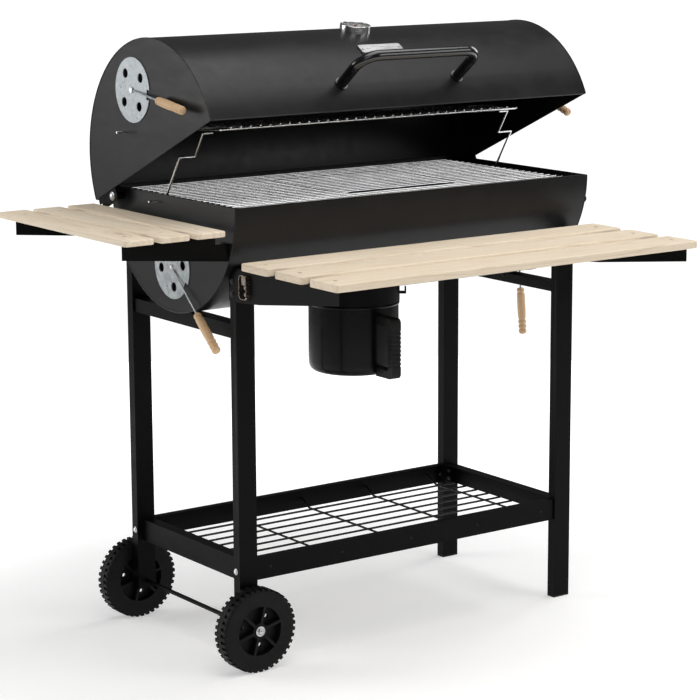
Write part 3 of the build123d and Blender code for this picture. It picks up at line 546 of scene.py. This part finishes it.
def cross_head(bm, p, r):
    """Countersunk cross-head screw, its recess pressed into a fine polar grid."""
    rings = []
    for i in range(1, 11):
        ring = []
        for k in range(48):
            a = 2 * math.pi * k / 48
            x, y = r * i / 10 * math.cos(a), r * i / 10 * math.sin(a)
            in_slot = min(abs(x), abs(y)) < 0.13 * r and max(abs(x), abs(y)) < 0.62 * r
            deep = -0.30 * r if in_slot else -0.05 * r * (i / 10) ** 2
            ring.append(bm.verts.new(p + Vector((x, y, deep)) * MM))
        rings.append(ring)
    hub = bm.verts.new(p + Vector((0, 0, -0.36 * r)) * MM)
    for k in range(48):
        bm.faces.new((hub, rings[0][k], rings[0][(k + 1) % 48]))
    for a, b in zip(rings, rings[1:]):
        for k in range(48):
            j = (k + 1) % 48
            bm.faces.new((a[k], b[k], b[j], a[j]))
    rim = [bm.verts.new(v.co - Vector((0, 0, 0.9 * MM))) for v in rings[-1]]
    for k in range(48):
        j = (k + 1) % 48
        bm.faces.new((rings[-1][k], rim[k], rim[j], rings[-1][j]))


def table_fixings():
    heads, nuts = bmesh.new(), bmesh.new()
    for i in (1, 2, 3):
        for node, places in ((f"front_plank_{i}", "x"), (f"side_plank_{i}", "y")):
            lo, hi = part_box(node)
            mid = (lo + hi) / 2
            for s in (-1, 1):
                if places == "x":
                    p = Vector((MID.x + s * 0.367, mid.y, hi.z))
                else:
                    p = Vector((mid.x, MID.y + s * 0.171, hi.z))
                cross_head(heads, p - Vector((0, 0, 0.0003)), 4.0)
                hexnut(nuts, Vector((p.x, p.y, lo.z - 0.0015)), (0, 0, -1), 4.3 * MM, 3.6 * MM, 3.0)
    publish("table_screw_heads", heads, ZINC, "frame", ["table_screws"], angle=30)
    publish("table_nuts", nuts, ZINC, "frame")


def hinge_fixings():
    bright, dark = bmesh.new(), bmesh.new()
    lo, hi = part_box("hinge_bolts")
    y, z = (lo.y + hi.y) / 2, (lo.z + hi.z) / 2
    for s in (-1, 1):
        x = MID.x + s * 0.391
        lathe(dark, [(0, 0), (0, 0.0074), (0.0208, 0.0074), (0.0209, 0.0040), (0.0232, 0.0040), (0.0232, 0)],
              aligned((x, y, z), (s, 0, 0)), 32)
        dome(bright, (MID.x + s * 0.4142, y, z), (s, 0, 0), 6.6, 4.6, 1.2)
        hexnut(dark, (MID.x + s * 0.3898, y, z), (-s, 0, 0), 7.0 * MM, 5 * MM, 2.0)
    publish("hinge_pins", dark, BLACK, "frame", ["hinge_bolts"])
    publish("hinge_bolt_heads", bright, ZINC, "frame")


def axle_set():
    lo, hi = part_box("axle")
    c = (lo + hi) / 2
    rod, caps = bmesh.new(), bmesh.new()
    half = (hi.y - lo.y) / 2
    lathe(rod, [(-half + 0.006, 0), (-half + 0.006, 0.004), (half - 0.006, 0.004), (half - 0.006, 0)],
          aligned(c, (0, 1, 0)), 28)
    for s in (-1, 1):
        out = Vector((0, s, 0))
        seat = c + out * (half - 0.0070)
        inner = c + out * 0.183
        lathe(rod, [(0, 0), (0, 0.0078), (0.0028, 0.0078), (0.0028, 0)], aligned(inner, out), 28)
        lathe(caps, [(0, 0), (0, 0.0088), (0.0003, 0.0091), (0.0013, 0.0091), (0.0016, 0.0088), (0.0016, 0)],
              aligned(seat - out * 0.0001, out), 36)
        acorn = [(0.0016, 0), (0.0016, 0.0058), (0.0030, 0.0060), (0.0045, 0.0056), (0.0058, 0.0043),
                 (0.0066, 0.0024), (0.0070, 0)]
        lathe(caps, acorn, aligned(seat, out), 28)
    publish("axle_rod", rod, BLACK, "frame", ["axle"])
    publish("axle_washers", caps, ZINC, "frame")


# ------------------------------------------------------------------ thermometer
def thermometer():
    pts = NODES["thermo_dial"].data.vertices
    centre = sum((v.co for v in pts), Vector()) / len(pts)
    normal = None
    for p in NODES["thermo_dial"].data.polygons:
        if normal is None or p.area > normal[0]:
            normal = (p.area, p.normal.copy())
    n = normal[1] if normal[1].z > 0 else -normal[1]
    finish_node("thermo_dial", dial_face("dial", centre))
    # keep the scale upright: local Y points up the lid's curve
    x = Vector((1, 0, 0))
    y = n.cross(x).normalized()
    m = Matrix((x, y, n)).transposed().to_4x4()
    m.translation = centre + n * 0.0006
    ink = coated("dial_ink", 0.010, 0.45, peel=2500.0)
    red = coated("needle_red", 0.05, 0.40, peel=2500.0, tint=(8.0, 0.45, 0.35))
    marks = bmesh.new()
    for i in range(31):
        a = rad(225 - 9 * i)
        long = i % 5 == 0
        r0, r1, w = (0.0180 if long else 0.0195), 0.0215, (0.00042 if long else 0.00022)
        u = Vector((math.cos(a), math.sin(a), 0))
        v = Vector((-u.y, u.x, 0))
        quad = [u * r0 - v * w, u * r1 - v * w, u * r1 + v * w, u * r0 + v * w]
        low = [marks.verts.new(q) for q in quad]
        top = [marks.verts.new(q + Vector((0, 0, 0.00015))) for q in quad]
        marks.faces.new(top)
        for k in range(4):
            marks.faces.new((low[k], low[(k + 1) % 4], top[(k + 1) % 4], top[k]))
    publish("dial_marks", marks, ink, "lid", (), m)
    for i in range(7):
        a = rad(225 - 45 * i)
        text = bpy.data.curves.new(f"dial_number_{i}", "FONT")
        text.body = str(50 * i)
        text.size = 0.0046
        text.extrude = 0.00008
        text.align_x = "CENTER"
        text.align_y = "CENTER"
        t = bpy.data.objects.new(f"dial_number_{i}", text)
        bpy.context.scene.collection.objects.link(t)
        me = bpy.data.meshes.new_from_object(t)
        bpy.data.objects.remove(t)
        bm = bmesh.new()
        bm.from_mesh(me)
        bmesh.ops.translate(bm, verts=bm.verts, vec=Vector((math.cos(a), math.sin(a), 0)) * 0.0148)
        publish(f"dial_figure_{i}", bm, ink, "lid", (), m)
    needle = bmesh.new()
    a = rad(200)
    u, v = Vector((math.cos(a), math.sin(a), 0)), Vector((-math.sin(a), math.cos(a), 0))
    outline = [u * -0.006 - v * 0.0009, u * 0.017, u * -0.006 + v * 0.0009]
    low = [needle.verts.new(q + Vector((0, 0, 0.0010))) for q in outline]
    top = [needle.verts.new(q + Vector((0, 0, 0.0014))) for q in outline]
    needle.faces.new(low[::-1])
    needle.faces.new(top)
    for k in range(3):
        needle.faces.new((low[k], low[(k + 1) % 3], top[(k + 1) % 3], top[k]))
    lathe(needle, [(0, 0), (0, 0.0022), (0.0016, 0.0022), (0.0020, 0.0014), (0.0020, 0)], None, 24)
    publish("dial_needle", needle, red, "lid", (), m)
    lens = bmesh.new()
    turn = [rad(90) * k / 10 for k in range(11)]
    outer = [(0.0028 + 0.0022 * math.cos(a), 0.0252 * math.sin(a)) for a in turn]
    inner = [(z - 0.0010, r * 0.985) for z, r in outer[::-1]]
    lathe(lens, outer + inner, None, 48)
    publish("dial_lens", lens, GLASS, "lid", ["thermo_glass"], m, angle=70)


def pot():
    """The ash pot with a smooth drawn wall, rolled bead and rounded base."""
    lo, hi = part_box("ash_pot")
    c = (lo + hi) / 2
    r, h = (hi.x - lo.x) / 2 / MM, (hi.z - lo.z) / MM
    w = r - 1.8
    prof = [(0, 0), (0, w - 14)]
    prof += [(14 - 14 * math.cos(rad(a)), w - 14 + 14 * math.sin(rad(a))) for a in range(10, 91, 10)]
    prof += [(20, w), (40, w), (60, w), (80, w), (100, w), (h - 7, w)]
    prof += [(h - 3 - 3 * math.cos(rad(a)), w + 1.8 * math.sin(rad(a))) for a in range(0, 181, 20)]
    prof += [(h, w - 1.2), (h - 0.4, w - 1.5), (h - 7, w - 1.5), (60, w - 1.5), (15, w - 1.5)]
    prof += [(14 - 12.5 * math.cos(rad(a)), w - 14 + 12.5 * math.sin(rad(a))) for a in range(80, -1, -10)]
    prof.append((1.5, 0))
    bm = bmesh.new()
    lathe(bm, [(z * MM, q * MM) for z, q in prof], Matrix.Translation((c.x, c.y, lo.z)), 96)
    publish("smooth_ash_pot", bm, ENAMEL, "ash_pot", ["ash_pot"], angle=50)


# ------------------------------------------------------------------ seams
def arc_points(x, centre, r, a0, a1, n=72):
    cy, cz = centre
    turn = [rad(a0 + (a1 - a0) * i / n) for i in range(n + 1)]
    return [Vector((x, cy + r * math.cos(a), cz + r * math.sin(a))) for a in turn]


def seams():
    """Rolled seams where the end plates meet the skins, and hems along the lid's long edges."""
    bm = bmesh.new()
    cy, cz = MID.y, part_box("firebox_shell")[1].z
    for s in (-1, 1):
        tube(bm, arc_points(MID.x + s * 0.3908, (cy, cz), 0.2046, 180.2, 359.8), 0.0011, 10)
    publish("barrel_seams", bm, LIDBLACK, "frame")
    # the lid's axis, from the top and the back of its end plate
    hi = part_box("lid_end_left")[1]
    lid_r = 0.215
    ly, lz = hi.y - lid_r, hi.z - lid_r
    bm = bmesh.new()
    for s in (-1, 1):
        tube(bm, arc_points(MID.x + s * 0.4148, (ly, lz), 0.2146, -23.8, 155.8), 0.0012, 10)
    for a in (-24.0, 156.0):
        y, z = ly + 0.2144 * math.cos(rad(a)), lz + 0.2144 * math.sin(rad(a))
        tube(bm, [Vector((MID.x - 0.4140, y, z)), Vector((MID.x + 0.4140, y, z))], 0.0011, 10)
    publish("lid_seams", bm, LIDBLACK, "lid")


grips()
stand_bolts()
table_fixings()
hinge_fixings()
axle_set()
thermometer()
pot()
seams()


# ------------------------------------------------------------------ floor, lights, camera
def stage():
    bm = bmesh.new()
    bmesh.ops.create_circle(bm, cap_ends=True, radius=2.6, segments=96)
    me = bpy.data.meshes.new("floor")
    bm.to_mesh(me)
    bm.free()
    floor = bpy.data.objects.new("floor", me)
    bpy.context.scene.collection.objects.link(floor)
    s = Shader("floor_glow_painted_shade", Emission_Color=(1, 1, 1, 1), Specular_IOR_Level=0.1)
    away = s.add("VectorMath", {"operation": "LENGTH"}, i0=s.space).outputs["Value"]
    # painted shade: the floor glows, weaker round the grill (0.36) than beyond 1.9 m (1.0), so the ground
    # near the grill is darker
    s.set(Emission_Strength=s.span(away, 0.75, 1.9, 0.36, 1.0))
    s.set(Base_Color=s.mix(s.span(s.noise(3.0, 4.0), 0.3, 0.7, 0.0, 1.0), rgb(0.80), rgb(0.83)))
    s.set(Roughness=s.span(s.noise(9.0, 3.0), 0.3, 0.7, 0.50, 0.60))
    me.materials.append(s.mat)

    world = bpy.data.worlds.new("studio")
    bpy.context.scene.world = world
    world.use_nodes = True
    t = world.node_tree
    bg = t.nodes["Background"]
    seen = t.nodes.new("ShaderNodeLightPath").outputs["Is Camera Ray"]
    level = t.nodes.new("ShaderNodeMapRange")
    t.links.new(seen, level.inputs[0])
    for i, v in enumerate((0.0, 1.0, 0.12, 1.1)):
        level.inputs[i + 1].default_value = v
    t.links.new(level.outputs[0], bg.inputs["Strength"])
    bg.inputs["Color"].default_value = (1, 1, 1, 1)

    def softbox(name, place, aim, w, h, power):
        d = bpy.data.lights.new(name, "AREA")
        d.shape = "RECTANGLE"
        d.size, d.size_y, d.energy = w, h, power
        o = bpy.data.objects.new(name, d)
        bpy.context.scene.collection.objects.link(o)
        o.location = place
        o.rotation_mode = "QUATERNION"
        o.rotation_quaternion = (Vector(aim) - Vector(place)).to_track_quat("-Z", "Y")
        o.visible_camera = False

    softbox("top", (0.2, -0.5, 3.2), (0, 0, 0.6), 3.4, 2.2, 76)
    softbox("left_back", (-3.0, 2.7, 1.5), (0, 0, 0.8), 2.2, 2.4, 60)
    softbox("front_left", (-2.6, -3.4, 2.6), (0, 0, 0.7), 2.4, 2.4, 24)
    softbox("front_right", (2.4, -3.1, 1.9), (0, 0, 0.8), 2.2, 1.5, 32)
    softbox("right", (3.2, 0.4, 1.8), (0, 0, 0.7), 1.6, 2.0, 34)


def camera():
    az, el, roll = rad(-35.64), rad(11.135), rad(-0.257)
    back = Vector((math.sin(az) * math.cos(el), -math.cos(az) * math.cos(el), math.sin(el)))
    right = Vector((math.cos(az), math.sin(az), 0.0))
    up = back.cross(right)
    right2 = right * math.cos(roll) + up * math.sin(roll)
    up2 = up * math.cos(roll) - right * math.sin(roll)
    data = bpy.data.cameras.new("camera")
    data.sensor_width = 36.0
    data.lens = 122.96
    data.clip_start = 0.1
    data.clip_end = 100.0
    o = bpy.data.objects.new("camera", data)
    bpy.context.scene.collection.objects.link(o)
    m = Matrix((right2, up2, back)).transposed().to_4x4()
    m.translation = at(-2557.7, -3555.6, 1360.2)
    o.matrix_world = m
    bpy.context.scene.camera = o


stage()
camera()
bpy.context.scene.view_settings.view_transform = "Standard"
